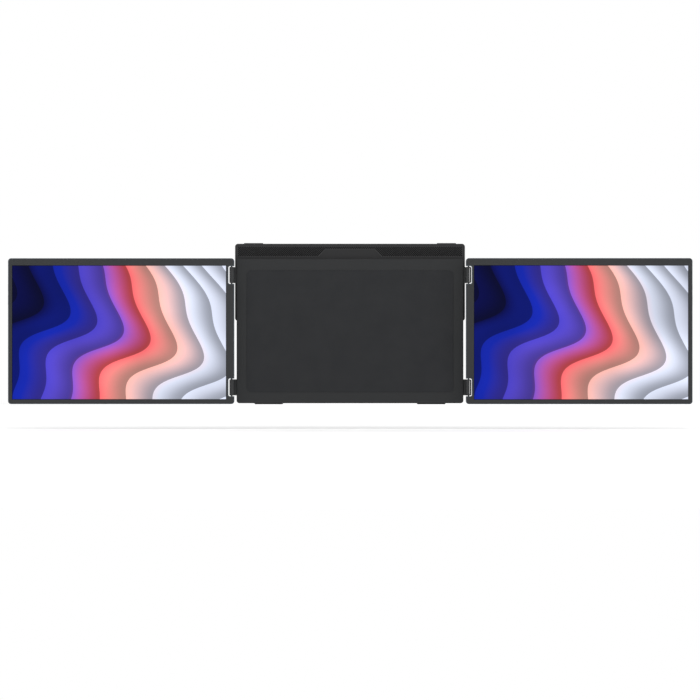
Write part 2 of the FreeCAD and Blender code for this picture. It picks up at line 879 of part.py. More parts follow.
def bracket_screw_tip():
    """Depth that the bracket screws reach."""
    return y_recess + bracket_foot_t - bracket_screw_cover


def bracket_screws():
    """Flat-head screws from inside the frame into the stand brackets."""
    return group([screw(x, z, y_arm_back + head_sink, bracket_screw_tip(), cover_screw)
                  for x, z in bracket_screw_places()])


def stand_rods():
    """Hinge rod of each bracket, through the stand's knuckles on both sides of it."""
    half = bracket_w / 2 + part_gap + knuckle_w
    return group([rod_x(side * bracket_x - half, side * bracket_x + half, stand_axis_y, stand_axis_z, rod_r)
                  for side in (-1, 1)])


def trapezoid(y0, y1, grow=0.0):
    """Plain land in the perforated strip: a trapezoid on its lower edge."""
    z0 = strip_z0 - beyond
    z1 = strip_z0 + trapezoid_h + grow
    slope = (trapezoid_half_foot - trapezoid_half_top) / trapezoid_h
    foot = trapezoid_half_foot + grow + slope * beyond
    top = trapezoid_half_top + grow - slope * grow
    corners = [V(-foot, y0, z0), V(foot, y0, z0), V(top, y0, z1), V(-top, y0, z1)]
    face = Part.Face(Part.makePolygon(corners + corners[:1]))
    return face.extrude(V(0, y1 - y0, 0))


def strip_area(y0, y1, inset=0.0):
    """Outline of the perforated strip between two depths."""
    half = stand_half_w - strip_rim_side - inset
    area = box(-half, half, y0, y1, strip_z0 + inset, strip_z1 - inset)
    return area.cut(trapezoid(y0 - beyond, y1 + beyond, inset))


def stand_plate():
    """Flap of the stand with its knuckles, a pocket for the perforated strip and grooves for its feet."""
    flap = slab(-stand_half_w, stand_half_w, stand_y0, stand_y1, stand_root_z, stand_edge_z, stand_corner_r)
    flap = eased(flap, stand_y0, stand_edge_r)
    flap = eased(flap, stand_y1, stand_edge_r)
    cutters = [strip_area(stand_y0 - beyond, stand_y0 + strip_t)]
    knuckles = []
    for side in (-1, 1):
        x0 = side * bracket_x - bracket_w / 2 - part_gap
        x1 = side * bracket_x + bracket_w / 2 + part_gap
        cutters.append(box(x0, x1, stand_y0 - beyond, stand_y1 + beyond, stand_root_z - beyond,
                           stand_axis_z + bracket_foot + bracket_notch_gap))
        for a, b in ((x0 - knuckle_w, x0), (x1, x1 + knuckle_w)):
            barrel = rod_x(a, b, stand_axis_y, stand_axis_z, knuckle_r)
            web = box(a, b, stand_y0, stand_axis_y + knuckle_r, stand_axis_z, stand_root_z + knuckle_web_lap)
            knuckles.append(fused([barrel, web]).cut(
                rod_x(a - beyond, b + beyond, stand_axis_y, stand_axis_z, rod_r + run_fit)))
    for x0, x1 in foot_spans():
        cutters.append(box(x0 - run_fit, x1 + run_fit, foot_y() - run_fit, foot_y() + foot_w + run_fit,
                           stand_edge_z - foot_root, stand_edge_z + beyond))
    return fused([without(flap, cutters)] + knuckles)


def stand_strip():
    """Thin perforated strip in the flap's pocket; its holes are finish, not construction."""
    return strip_area(stand_y0, stand_y0 + strip_t, glue_gap)


def foot_spans():
    """Both rubber strips on the stand's free edge, left to right."""
    x0 = foot_x1 - foot_len
    return ((-foot_x1, -x0), (x0, foot_x1))


def foot_y():
    """Front face of the stand's foot strips."""
    return (stand_y0 + stand_y1 - foot_w) / 2


def stand_foot(span):
    """Rubber strip on the stand's free edge."""
    x0, x1 = span
    strip = box(x0, x1, foot_y(), foot_y() + foot_w, stand_edge_z - foot_root, stand_edge_z + foot_proud)
    tops = [e for e in strip.Edges
            if all(abs(v.Z - (stand_edge_z + foot_proud)) < 1e-6 for v in e.Vertexes)]
    return strip.makeFillet(foot_edge_r, tops)


# Setting in place


def in_place(shape, side, axis_y, height=0.0):
    """A piece from the screen frame set at its hinge axis; the left one is the mirror image."""
    placed = shape.mirror(V(0, 0, 0), V(1, 0, 0)) if side < 0 else shape.copy()
    placed.translate(V(side * hinge_x, axis_y, height))
    return placed


def screen_pieces():
    """Every piece of one screen in its own frame, by name."""
    return {
        "rear_cover": screen_rear_cover(),
        "bezel": screen_bezel(),
        "display": display_cell(),
        "backlight": backlight(),
        "driver_board": driver_board(),
        "display_cable": display_cable(),
        "control_board": control_board(),
        "board_screws": board_screws(),
        "usb_c_sockets": usb_c_sockets(),
        "mini_hdmi_socket": mini_hdmi_socket(),
        "button_switches": button_switches(),
        "power_button": power_button(),
        "menu_rocker": menu_rocker(),
        "speaker": speaker(),
        "closure_magnets": closure_magnets(),
        "hinge_blocks": hinge_blocks(),
        "hinge_screws": hinge_screws(),
        "hinge_pins": hinge_pins(),
    }


def all_nodes():
    """Every node of the extender, in place."""
    nodes = {
        "frame_front_cover": front_cover(),
        "frame_rear_cover": rear_cover(),
        "frame_chassis": chassis(),
        "frame_cover_screws": cover_screws(),
        "frame_magnets": frame_magnets(),
        "frame_feet": base_feet(),
        "front_pad": front_pad(),
        "pad_magnets": pad_magnets(),
        "arm_screws": arm_screws(),
        "stand_plate": stand_plate(),
        "stand_strip": stand_strip(),
        "stand_left_foot": stand_foot(foot_spans()[0]),
        "stand_right_foot": stand_foot(foot_spans()[1]),
        "stand_left_bracket": stand_bracket(-1),
        "stand_right_bracket": stand_bracket(1),
        "stand_rods": stand_rods(),
        "bracket_screws": bracket_screws(),
    }
    pieces = screen_pieces()
    for name, side, axis_y in (("left", -1, left_axis_y), ("right", 1, right_axis_y)):
        for piece, shape in pieces.items():
            nodes[name + "_" + piece] = in_place(shape, side, axis_y)
        arm = hinge_arm(axis_y, is_long=side > 0)
        nodes[name + "_upper_arm"] = in_place(arm, side, axis_y, notch_z)
        nodes[name + "_lower_arm"] = in_place(arm, side, axis_y, -notch_z)
    return nodes


def main():
    os.makedirs("parts", exist_ok=True)
    for name, shape in all_nodes().items():
        if not shape.isValid():
            raise ValueError("not a valid shape: " + name)
        shape.exportStep(os.path.join("parts", name + ".step"))
        print(name, len(shape.Solids), round(shape.Volume, 1))


main()
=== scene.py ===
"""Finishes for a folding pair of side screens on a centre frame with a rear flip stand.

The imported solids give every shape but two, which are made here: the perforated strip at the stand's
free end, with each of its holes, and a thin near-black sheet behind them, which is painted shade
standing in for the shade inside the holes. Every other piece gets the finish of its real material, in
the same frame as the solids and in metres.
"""

import json

import bpy
import numpy as np
from bpy.props import FloatProperty, FloatVectorProperty, PointerProperty
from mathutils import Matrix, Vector
from mathutils.geometry import tessellate_polygon


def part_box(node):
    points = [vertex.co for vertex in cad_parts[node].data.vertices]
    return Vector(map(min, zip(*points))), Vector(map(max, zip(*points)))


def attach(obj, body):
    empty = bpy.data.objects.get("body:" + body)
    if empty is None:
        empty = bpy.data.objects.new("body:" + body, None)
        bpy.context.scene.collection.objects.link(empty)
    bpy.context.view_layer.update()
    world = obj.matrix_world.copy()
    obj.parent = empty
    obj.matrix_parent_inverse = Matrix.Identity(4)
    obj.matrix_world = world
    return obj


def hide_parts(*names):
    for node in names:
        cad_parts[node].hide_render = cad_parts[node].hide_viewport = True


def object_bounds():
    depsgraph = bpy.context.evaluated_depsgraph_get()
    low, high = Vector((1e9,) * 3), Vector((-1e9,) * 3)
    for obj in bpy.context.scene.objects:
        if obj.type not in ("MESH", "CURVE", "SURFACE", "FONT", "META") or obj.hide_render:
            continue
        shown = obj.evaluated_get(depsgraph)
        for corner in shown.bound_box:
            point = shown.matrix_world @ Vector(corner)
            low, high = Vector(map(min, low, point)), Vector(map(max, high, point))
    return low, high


bl_info = {
    "name": "Folding side screens",
    "version": (1, 0, 0),
    "blender": (4, 5, 0),
    "location": "3D View > Sidebar > Screens",
    "description": "Dresses the solids of a folding pair of side screens and lights them",
    "category": "Object",
}

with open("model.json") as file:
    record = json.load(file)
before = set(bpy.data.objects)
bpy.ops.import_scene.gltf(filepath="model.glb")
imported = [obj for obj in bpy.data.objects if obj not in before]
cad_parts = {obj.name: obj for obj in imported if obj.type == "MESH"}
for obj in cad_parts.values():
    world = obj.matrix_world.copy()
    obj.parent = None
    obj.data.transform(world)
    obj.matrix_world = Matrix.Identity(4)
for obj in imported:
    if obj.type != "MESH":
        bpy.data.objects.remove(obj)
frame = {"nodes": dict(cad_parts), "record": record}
CAD_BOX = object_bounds()
MM = 0.001

# The photograph: its width in pixels, and the object's scale in it
PHOTO_PX = 700
MM_PER_PX = 1.411

# Heights from the middle of the pad: what the photograph's middle row looks at, and the floor
EYE_HEIGHT = -26.6 * MM
DESK_HEIGHT = -139.0 * MM

# The camera's sensor width in millimetres, and how far it sees in metres
SENSOR_MM = 36.0
CLIP_END = 100.0

# Softboxes: name, place and size in metres, the setting that powers them and the share of it they take
SOFTBOXES = (
    ("key", (0.0, -2.4, 1.9), 2.2, "key_power", 1.0),
    ("left side", (-2.2, -1.2, 0.9), 1.4, "side_power", 1.0),
    ("right side", (2.2, -1.2, 0.9), 1.4, "side_power", 1.0),
    ("rear", (0.6, 2.4, 1.6), 1.6, "side_power", 1.6),
)

# The floor's width in spans of the object, and the light added to it where it is seen
FLOOR_SPANS = 6
FLOOR_LIFT = 0.28

# The values that noise mostly stays between, the share by which gloss changes over a surface, and how
# strongly the grain stands out
NOISE_LOW = 0.3
NOISE_HIGH = 0.7
GLOSS_SPREAD = 0.1
RELIEF = 0.6

# The picture's waves, on a picture one wide and one high: how fast the phase grows with height and with
# width, where it starts, how far the slow wave swings, and the quick wave's rate and swing
PHASE_UP = 4.2
PHASE_ACROSS = 2.3
PHASE_START = 0.9
SLOW_SWING = 0.13
QUICK_RATE = 2.7
QUICK_SWING = 0.035

# The picture's light: at a ribbon's bright edge and its faded one, the size and range of the haze over
# it, and the share of its colour that the panel itself reflects
RIBBON_BRIGHT = 1.22
RIBBON_FADED = 0.5
HAZE_MM = 90.0
HAZE_LOW = 0.85
HAZE_HIGH = 1.1
PANEL_TONE = 0.3

QUARTER_TURN = np.pi / 2


def linear(hex_colour):
    """Linear RGBA of an sRGB hex colour."""
    parts = [int(hex_colour[i:i + 2], 16) / 255 for i in (0, 2, 4)]
    return tuple(c / 12.92 if c <= 0.04045 else ((c + 0.055) / 1.055) ** 2.4 for c in parts) + (1.0,)


def colour_property(name, description, hex_colour):
    """A colour that the user can change."""
    return FloatVectorProperty(name=name, description=description, subtype="COLOR", size=4,
                               min=0.0, max=1.0, default=linear(hex_colour))


def length_property(name, description, millimetres):
    """A length that the user can change, kept in metres."""
    return FloatProperty(name=name, description=description, default=millimetres * MM,
                         unit="LENGTH", subtype="DISTANCE", precision=5)


class HousingSettings(bpy.types.PropertyGroup):
    """Colours of the mouldings, the metal shells and the stand."""

    bezel: colour_property("Bezel", "Moulded frame round each display", "333435")
    shell: colour_property("Shell", "Anodised rear cover and its rim", "4A4F54")
    frame: colour_property("Frame", "Moulded covers of the centre frame", "2B2C2D")
    stand: colour_property("Stand", "Powder-coated flap", "2A2A2B")
    arm: colour_property("Arm", "Painted hinge arms and brackets", "303132")
    key: colour_property("Key", "Moulded keys in the outer edge", "2B2C2E")
    rubber: colour_property("Rubber", "Foot strips", "1F2021")
    pad: colour_property("Pad", "Soft sheet on the frame's front", "27282A")
    strip: colour_property("Strip", "Satin lacquer on the perforated strip", "363637")


class StripSettings(bpy.types.PropertyGroup):
    """Sizes of the perforated strip at the stand's free end and of the near-black sheet behind it, which
    paints the shade in the holes.
    """

    pitch: length_property("Pitch", "Distance between holes in a row", 3.1)
    row_pitch: length_property("Row pitch", "Distance between rows, which are staggered", 1.5)
    margin: length_property("Margin", "Plain edge of the strip before its first holes", 0.1)
    opening: FloatProperty(name="Opening", description="Share of a cell's corner reach that is open",
                           default=0.78, min=0.3, max=0.9, subtype="FACTOR")
    fullness: FloatProperty(name="Fullness",
                            description="Share of the reach to a cell's sides that is open",
                            default=0.88, min=0.4, max=0.92, subtype="FACTOR")
    land_top: length_property("Land top", "Half width of the plain trapezoid's upper edge", 34.8)
    land_foot: length_property("Land foot", "Half width of the plain trapezoid's lower edge", 45.0)
    land_rise: length_property("Land rise", "Height of the plain trapezoid", 10.5)
    # The sheet behind the holes is painted shade: being near black, it darkens the holes as their depth
    # would
    cloth: length_property("Cloth", "Thickness of the cloth behind the holes", 0.1)
    shade_sheet_room: length_property("Shade sheet room", "Depth kept free behind the strip", 0.15)
    shade_sheet_gap: length_property("Shade sheet gap", "Space between the cloth and the stand's plate", 0.02)


class PictureSettings(bpy.types.PropertyGroup):
    """The generic picture on the lit displays."""

    glow: FloatProperty(name="Glow", description="Light that the picture gives off", default=0.74,
                        min=0.0, max=4.0, subtype="FACTOR")
    ribbons: FloatProperty(name="Ribbons", description="Ribbons across the picture", default=8.0,
                           min=2.0, max=30.0)
    border: length_property("Border", "Black edge of a display round its picture", 1.9)
    night: colour_property("Night", "Left end of the picture", "03063F")
    blue: colour_property("Blue", "Left part of the picture", "1226A8")
    violet: colour_property("Violet", "Left of the middle", "6450CC")
    coral: colour_property("Coral", "Right of the middle", "EE5B63")
    peach: colour_property("Peach", "Right part of the picture", "F7B3A6")
    mist: colour_property("Mist", "Right end of the picture", "D2D8EA")


class StageSettings(bpy.types.PropertyGroup):
    """Camera and light."""

    distance: FloatProperty(name="Distance", description="Camera to object", default=6.0, min=1.0,
                            unit="LENGTH", subtype="DISTANCE")
    key_power: FloatProperty(name="Key", description="Large front softbox", default=24.0, unit="POWER")
    side_power: FloatProperty(name="Side", description="Softbox on each side", default=10.0,
                              unit="POWER")
    sky: FloatProperty(name="Sky", description="Even light from all round", default=0.62, min=0.0)


# Nodes and materials


def add_node(tree, kind, inputs=None, **settings):
    """Adds a node, sets its fields and gives its inputs a value or a link."""
    node = tree.nodes.new(kind)
    for name, value in settings.items():
        setattr(node, name, value)
    for key, value in (inputs or {}).items():
        if isinstance(value, bpy.types.NodeSocket):
            tree.links.new(value, node.inputs[key])
        else:
            node.inputs[key].default_value = value
    return node


def new_tree(name):
    """An empty material and its node tree."""
    material = bpy.data.materials.new(name)
    material.use_nodes = True
    material.node_tree.nodes.clear()
    return material, material.node_tree


def close_tree(tree, shader):
    """Puts a shader on the material's output."""
    add_node(tree, "ShaderNodeOutputMaterial", {"Surface": shader.outputs[0]})


def grain_noise(tree, size_mm, detail=2.0, stretch=(1.0, 1.0, 1.0)):
    """Noise whose features are size_mm across, on the piece's own coordinates."""
    place = add_node(tree, "ShaderNodeTexCoord")
    scaled = add_node(tree, "ShaderNodeMapping", {"Vector": place.outputs["Object"], "Scale": stretch})
    return add_node(tree, "ShaderNodeTexNoise", {
        "Vector": scaled.outputs["Vector"], "Scale": 1.0 / (size_mm * MM), "Detail": detail,
        "Roughness": 0.55})


def between(tree, value, low, high):
    """Maps noise, from its usual lowest to its usual highest value, onto a range."""
    return add_node(tree, "ShaderNodeMapRange", {
        "Value": value, "From Min": NOISE_LOW, "From Max": NOISE_HIGH, "To Min": low,
        "To Max": high}).outputs["Result"]


def tinted(tree, value, colour, spread):
    """The colour, a little darker and lighter with the noise.

    A Mix node set to colour has its share at input 0, its colours at 6 and 7 and its result at output 2.
    """
    dark = [c * (1 - spread) for c in colour[:3]] + [1.0]
    light = [min(1.0, c * (1 + spread)) for c in colour[:3]] + [1.0]
    share = between(tree, value, 0.0, 1.0)
    return add_node(tree, "ShaderNodeMix", {0: share, 6: dark, 7: light}, data_type="RGBA").outputs[2]


def worked_surface(name, colour, roughness, metallic=0.0, grain_mm=0.6, depth_mm=0.02, spread=0.05,
                   mottle_mm=28.0, stretch=(1.0, 1.0, 1.0), level=0.5):
    """A surface with its grain in relief, and slow changes of tone and gloss over it."""
    material, tree = new_tree(name)
    grain = grain_noise(tree, grain_mm, stretch=stretch)
    mottle = grain_noise(tree, mottle_mm, detail=3.0)
    bump = add_node(tree, "ShaderNodeBump", {
        "Height": grain.outputs["Fac"], "Distance": depth_mm * MM, "Strength": RELIEF})
    shader = add_node(tree, "ShaderNodeBsdfPrincipled", {
        "Base Color": tinted(tree, mottle.outputs["Fac"], colour, spread),
        "Roughness": between(tree, mottle.outputs["Fac"], roughness * (1 - GLOSS_SPREAD),
                             min(1.0, roughness * (1 + GLOSS_SPREAD))),
        "Metallic": metallic, "Specular IOR Level": level, "Normal": bump.outputs["Normal"]})
    close_tree(tree, shader)
    return material


def moulded_abs(name, colour):
    """ABS moulded in a spark-eroded tool: an even fine grain that breaks up the shine."""
    return worked_surface(name, colour, roughness=0.6, grain_mm=0.5, depth_mm=0.02, spread=0.04,
                          level=0.2)


def anodised_aluminium(name, colour):
    """Bead-blasted and anodised sheet: a soft metallic sheen with almost no grain."""
    return worked_surface(name, colour, roughness=0.42, metallic=1.0, grain_mm=0.4, depth_mm=0.008,
                          spread=0.05)


def powder_coat(name, colour):
    """Powder coat: a satin skin with the low ripple that the melted powder leaves."""
    return worked_surface(name, colour, roughness=0.52, grain_mm=0.9, depth_mm=0.015, spread=0.05,
                          level=0.2)


def painted_casting(name, colour):
    """Satin paint on die-cast zinc: a little shine at the edges and a faint ripple."""
    return worked_surface(name, colour, roughness=0.5, grain_mm=1.2, depth_mm=0.012, spread=0.06,
                          level=0.25)


def silicone(name, colour):
    """Matt silicone or rubber: dull, with a fine cloth-like grain from its press."""
    return worked_surface(name, colour, roughness=0.8, grain_mm=0.7, depth_mm=0.04, spread=0.06,
                          level=0.25)


def painted_shade_sheet(name, colour):
    """Near-black dull sheet behind the strip's holes: painted shade for the inside of the holes, with a
    grain 0.7 mm across.
    """
    return worked_surface(name, colour, roughness=0.8, grain_mm=0.7, depth_mm=0.04, spread=0.06,
                          level=0.25)


def ground_steel(name, colour):
    """Ground steel: bright, with fine lines round the bar."""
    return worked_surface(name, colour, roughness=0.3, metallic=1.0, grain_mm=0.5, depth_mm=0.006,
                          spread=0.08, mottle_mm=6.0, stretch=(0.2, 0.2, 4.0))


def pressed_sheet(name, colour):
    """Rolled and pressed sheet metal: long faint rolling lines."""
    return worked_surface(name, colour, roughness=0.36, metallic=1.0, grain_mm=0.8, depth_mm=0.006,
                          spread=0.06, stretch=(0.05, 1.0, 1.0))


def solder_mask(name, colour):
    """Circuit board under its green lacquer: faint traces a millimetre apart show through."""
    material, tree = new_tree(name)
    place = add_node(tree, "ShaderNodeTexCoord")
    upright = add_node(tree, "ShaderNodeMapping", {
        "Vector": place.outputs["Object"], "Rotation": (QUARTER_TURN, 0.0, 0.0)})
    island = [c * 1.25 for c in colour[:3]] + [1.0]
    trace = [c * 1.9 for c in colour[:3]] + [1.0]
    two_traces_mm = 2.0
    traces = add_node(tree, "ShaderNodeTexBrick", {
        "Vector": upright.outputs["Vector"], "Color1": colour, "Color2": island, "Mortar": trace,
        "Scale": 1.0 / (two_traces_mm * MM), "Mortar Size": 0.03})
    shader = add_node(tree, "ShaderNodeBsdfPrincipled", {
        "Base Color": traces.outputs["Color"], "Roughness": 0.35})
    close_tree(tree, shader)
    return material


def ribbon_value(tree, across, up, ribbons):
    """The place in the colours, and the same place counted in ribbons.

    The place is the share across, plus a slow and a quick sine of a phase that grows with height and
    width. The count is the place times the number of ribbons.
    """
    height = add_node(tree, "ShaderNodeMath", {0: up, 1: PHASE_UP, 2: PHASE_START},
                      operation="MULTIPLY_ADD")
    width = add_node(tree, "ShaderNodeMath", {0: across, 1: PHASE_ACROSS}, operation="MULTIPLY")
    phase = add_node(tree, "ShaderNodeMath", {0: height.outputs[0], 1: width.outputs[0]},
                     operation="ADD")
    slow = add_node(tree, "ShaderNodeMath", {0: phase.outputs[0]}, operation="SINE")
    faster = add_node(tree, "ShaderNodeMath", {0: phase.outputs[0], 1: QUICK_RATE},
                      operation="MULTIPLY")
    quick = add_node(tree, "ShaderNodeMath", {0: faster.outputs[0]}, operation="SINE")
    broad = add_node(tree, "ShaderNodeMath", {0: slow.outputs[0], 1: SLOW_SWING, 2: across},
                     operation="MULTIPLY_ADD")
    shaped = add_node(tree, "ShaderNodeMath", {0: quick.outputs[0], 1: QUICK_SWING, 2: broad.outputs[0]},
                      operation="MULTIPLY_ADD")
    count = add_node(tree, "ShaderNodeMath", {0: shaped.outputs[0], 1: ribbons}, operation="MULTIPLY")
    return shaped.outputs[0], count.outputs[0]


def lit_picture(name, settings, low, high):
    """Anti-glare display: flowing ribbons from night blue over coral to mist, with a black border.

    The picture fills the box from low to high; a ribbon is bright along one edge and fades to the next.
    """
    material, tree = new_tree(name)
    place = add_node(tree, "ShaderNodeTexCoord")
    xyz = add_node(tree, "ShaderNodeSeparateXYZ", {"Vector": place.outputs["Object"]})
    across = add_node(tree, "ShaderNodeMapRange", {
        "Value": xyz.outputs["X"], "From Min": low.x, "From Max": high.x}, clamp=False).outputs["Result"]
    up = add_node(tree, "ShaderNodeMapRange", {
        "Value": xyz.outputs["Z"], "From Min": low.z, "From Max": high.z}, clamp=False).outputs["Result"]
    shaped, count = ribbon_value(tree, across, up, settings.ribbons)
    within = add_node(tree, "ShaderNodeMath", {0: count}, operation="FRACT").outputs[0]
    ramp = add_node(tree, "ShaderNodeValToRGB", {"Fac": shaped})
    stops = ((0.0, settings.night), (0.16, settings.blue), (0.36, settings.violet),
             (0.49, settings.coral), (0.62, settings.peach), (0.78, settings.mist))
    elements = ramp.color_ramp.elements
    while len(elements) < len(stops):
        elements.new(0.5)
    for element, (position, colour) in zip(elements, stops):
        element.position = position
        element.color = colour
    fold = add_node(tree, "ShaderNodeMapRange", {
        "Value": within, "From Min": 0.0, "From Max": 1.0, "To Min": RIBBON_BRIGHT,
        "To Max": RIBBON_FADED}, interpolation_type="SMOOTHSTEP")
    haze = grain_noise(tree, HAZE_MM, detail=1.0)
    sheen = add_node(tree, "ShaderNodeMath", {
        0: between(tree, haze.outputs["Fac"], HAZE_LOW, HAZE_HIGH), 1: fold.outputs["Result"]},
        operation="MULTIPLY")
    shaded = add_node(tree, "ShaderNodeVectorMath", {
        0: ramp.outputs["Color"], "Scale": sheen.outputs[0]}, operation="SCALE")
    lit = add_node(tree, "ShaderNodeMath", {0: inside(tree, across), 1: inside(tree, up)},
                   operation="MULTIPLY")
    picture = add_node(tree, "ShaderNodeVectorMath", {
        0: shaded.outputs[0], "Scale": lit.outputs[0]}, operation="SCALE")
    dim = add_node(tree, "ShaderNodeVectorMath", {0: picture.outputs[0], "Scale": PANEL_TONE},
                   operation="SCALE")
    shader = add_node(tree, "ShaderNodeBsdfPrincipled", {
        "Base Color": dim.outputs[0], "Roughness": 0.4, "Specular IOR Level": 0.05,
        "Emission Color": picture.outputs[0], "Emission Strength": settings.glow})
    close_tree(tree, shader)
    return material


def inside(tree, share):
    """1 between 0 and 1, else 0."""
    over = add_node(tree, "ShaderNodeMath", {0: share, 1: 0.0}, operation="GREATER_THAN")
    under = add_node(tree, "ShaderNodeMath", {0: share, 1: 1.0}, operation="LESS_THAN")
    both = add_node(tree, "ShaderNodeMath", {0: over.outputs[0], 1: under.outputs[0]},
                    operation="MULTIPLY")
    return both.outputs[0]


def nodes_of(slot):
    """The solids that take their finish from a slot of the record."""
    return [s["node"] for s in frame["record"]["subparts"] if s["material_slot"] == slot]


def dress(material, names):
    """Gives solids a finish."""
    for name in names:
        slots = frame["nodes"][name].material_slots
        if not slots:
            frame["nodes"][name].data.materials.append(material)
        for slot in slots:
            slot.material = material


# Meshes


def mesh_piece(name, points, faces, body, material):
    """One closed piece from points in metres and faces, riding on a body."""
    mesh = bpy.data.meshes.new(name)
    mesh.from_pydata([tuple(p) for p in points], [], faces)
    mesh.validate()
    mesh.materials.append(material)
    piece = bpy.data.objects.new(name, mesh)
    bpy.context.scene.collection.objects.link(piece)
    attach(piece, body)
    return piece


def strip_outline(low, high, land):
    """The strip's outline in X and Z: a rectangle whose lower edge steps up round the plain trapezoid.

    The land is that trapezoid: half its upper width and its upper height, then half its lower width.
    """
    (top_half, top_z), foot_half = land
    return np.array([(low.x, low.z), (-foot_half, low.z), (-top_half, top_z), (top_half, top_z),
                     (foot_half, low.z), (high.x, low.z), (high.x, high.z), (low.x, high.z)])


def cell_centres(low, high, land, strip):
    """Places of the staggered cells that lie whole inside the outline, as arrays of column and row.

    Columns count half pitches, so that a staggered row keeps whole numbers. A cell's middle is one
    half pitch and one row in from the corner of its column and row.
    """
    (top_half, top_z), foot_half = land
    columns = int((high.x - low.x - 2 * strip.margin) / strip.pitch) * 2 - 1
    rows = int((high.z - low.z - 2 * strip.margin) / strip.row_pitch) - 1
    i, j = np.meshgrid(np.arange(columns), np.arange(rows))
    keep = (i + j) % 2 == 0
    i, j = i[keep], j[keep]
    x0 = (low.x + high.x - (columns + 1) * strip.pitch / 2) / 2
    z0 = (low.z + high.z - (rows + 1) * strip.row_pitch) / 2
    x = x0 + (i + 1) * strip.pitch / 2
    z = z0 + (j + 1) * strip.row_pitch
    slope = (foot_half - top_half) / (top_z - low.z)
    reach = max(strip.pitch / 2, slope * strip.row_pitch) + strip.margin
    above = z - strip.row_pitch > top_z + strip.margin
    beside = np.abs(x) - reach > foot_half - slope * (z - low.z)
    clear = above | beside
    return i[clear], j[clear], x0, z0


def perforated_strip(low, high, land, strip):
    """Points and faces of the strip: a sheet with a through hole in each cell of a staggered grid.

    A cell is a rhombus one pitch wide and two rows high, and meets the next ones along its sides. Its
    ring runs from the eight points of its border, at the corners and the middles of the sides, to the
    same points drawn in toward its middle. The plain edge is the area between the outline and the
    cells, cut into triangles. Front and back sheets are the same outlines at two depths, joined by the
    holes' walls and by the outer edge.
    """
    i, j, x0, z0 = cell_centres(low, high, land, strip)
    around = np.array([(0, -2), (1, -1), (2, 0), (1, 1), (0, 2), (-1, 1), (-2, 0), (-1, -1)])
    unit = np.array([strip.pitch / 4, strip.row_pitch / 2])
    middle = np.stack([2 * (i + 1), 2 * (j + 1)], axis=1)
    keys, border = np.unique((middle[:, None, :] + around).reshape(-1, 2), axis=0, return_inverse=True)
    border = border.reshape(-1, len(around))
    corner = np.array([x0, z0])
    lattice = corner + keys * unit
    drawn_in = around * np.tile([[strip.opening], [strip.fullness]], (4, 1))
    holes = (corner + (middle[:, None, :] + drawn_in) * unit).reshape(-1, 2)
    outline = strip_outline(low, high, land)
    flat = np.vstack([lattice, holes, outline])
    hole_index = len(lattice) + np.arange(len(i) * len(around)).reshape(-1, len(around))
    turn = np.roll(np.arange(len(around)), -1)
    rings = np.stack([border, border[:, turn], hole_index[:, turn], hole_index], axis=2).reshape(-1, 4)
    edge_loop = np.arange(len(lattice) + len(holes), len(flat))
    front = [tuple(f) for f in rings] + plain_edge(flat, edge_loop, rim_loops(border))
    return two_sheets(flat, front, [hole_index, edge_loop[None, ::-1]], low.y, high.y)


def plain_sheet(outline, y0, y1):
    """Points and faces of a sheet without holes between two depths."""
    loop = np.arange(len(outline))
    return two_sheets(outline, plain_edge(outline, loop, []), [loop[None, ::-1]], y0, y1)


def two_sheets(flat, front, loops, y0, y1):
    """Points and faces of a closed piece: front faces, the same at the back, and a wall on each loop."""
    count = len(flat)
    points = np.vstack([np.column_stack([flat[:, 0], np.full(count, y), flat[:, 1]]) for y in (y0, y1)])
    faces = list(front) + [tuple(count + k for k in reversed(f)) for f in front]
    for loop in loops:
        after = np.roll(loop, -1, axis=1)
        walls = np.stack([loop, after, after + count, loop + count], axis=2).reshape(-1, 4)
        faces += [tuple(f) for f in walls]
    return points, faces


def rim_loops(border):
    """Closed loops of the cells' outer rim: the border steps that only one cell has."""
    steps = np.stack([border, np.roll(border, -1, axis=1)], axis=2).reshape(-1, 2)
    codes = np.sort(steps, axis=1)
    _, first, counts = np.unique(codes, axis=0, return_index=True, return_counts=True)
    following = {int(a): int(b) for a, b in steps[first[counts == 1]]}
    loops = []
    while following:
        start, step = following.popitem()
        loop = [start]
        while step != start:
            loop.append(step)
            step = following.pop(step)
        loops.append(loop)
    return loops


def plain_edge(flat, edge_loop, loops):
    """Triangles between the outline and the cells' rim, turned to face the front."""
    rings = [list(edge_loop)] + loops
    shapes = [[Vector((flat[k][0], flat[k][1], 0.0)) for k in ring] for ring in rings]
    order = [int(k) for ring in rings for k in ring]
    triangles = []
    for a, b, c in tessellate_polygon(shapes):
        p, q, r = (flat[order[k]] for k in (a, b, c))
        turned = (q[0] - p[0]) * (r[1] - p[1]) - (q[1] - p[1]) * (r[0] - p[0]) > 0
        triangles.append((order[a], order[b], order[c]) if turned else (order[a], order[c], order[b]))
    return triangles


# Operators


class SCREENS_OT_housings(bpy.types.Operator):
    """Finishes of the bezels, shells, centre frame, keys and feet."""

    bl_idname = "screens.housings"
    bl_label = "Housings"

    def execute(self, context):
        housing = context.scene.screens_housing
        dress(moulded_abs("Spark-eroded ABS bezel", housing.bezel), nodes_of("bezel"))
        dress(anodised_aluminium("Bead-blasted anodised aluminium", housing.shell), nodes_of("shell"))
        dress(moulded_abs("Spark-eroded ABS frame", housing.frame), nodes_of("frame_plastic"))
        dress(moulded_abs("Satin ABS key", housing.key), nodes_of("key"))
        dress(silicone("Pressed silicone pad", housing.pad), nodes_of("pad"))
        dress(silicone("Moulded rubber foot", housing.rubber), nodes_of("rubber"))
        return {"FINISHED"}


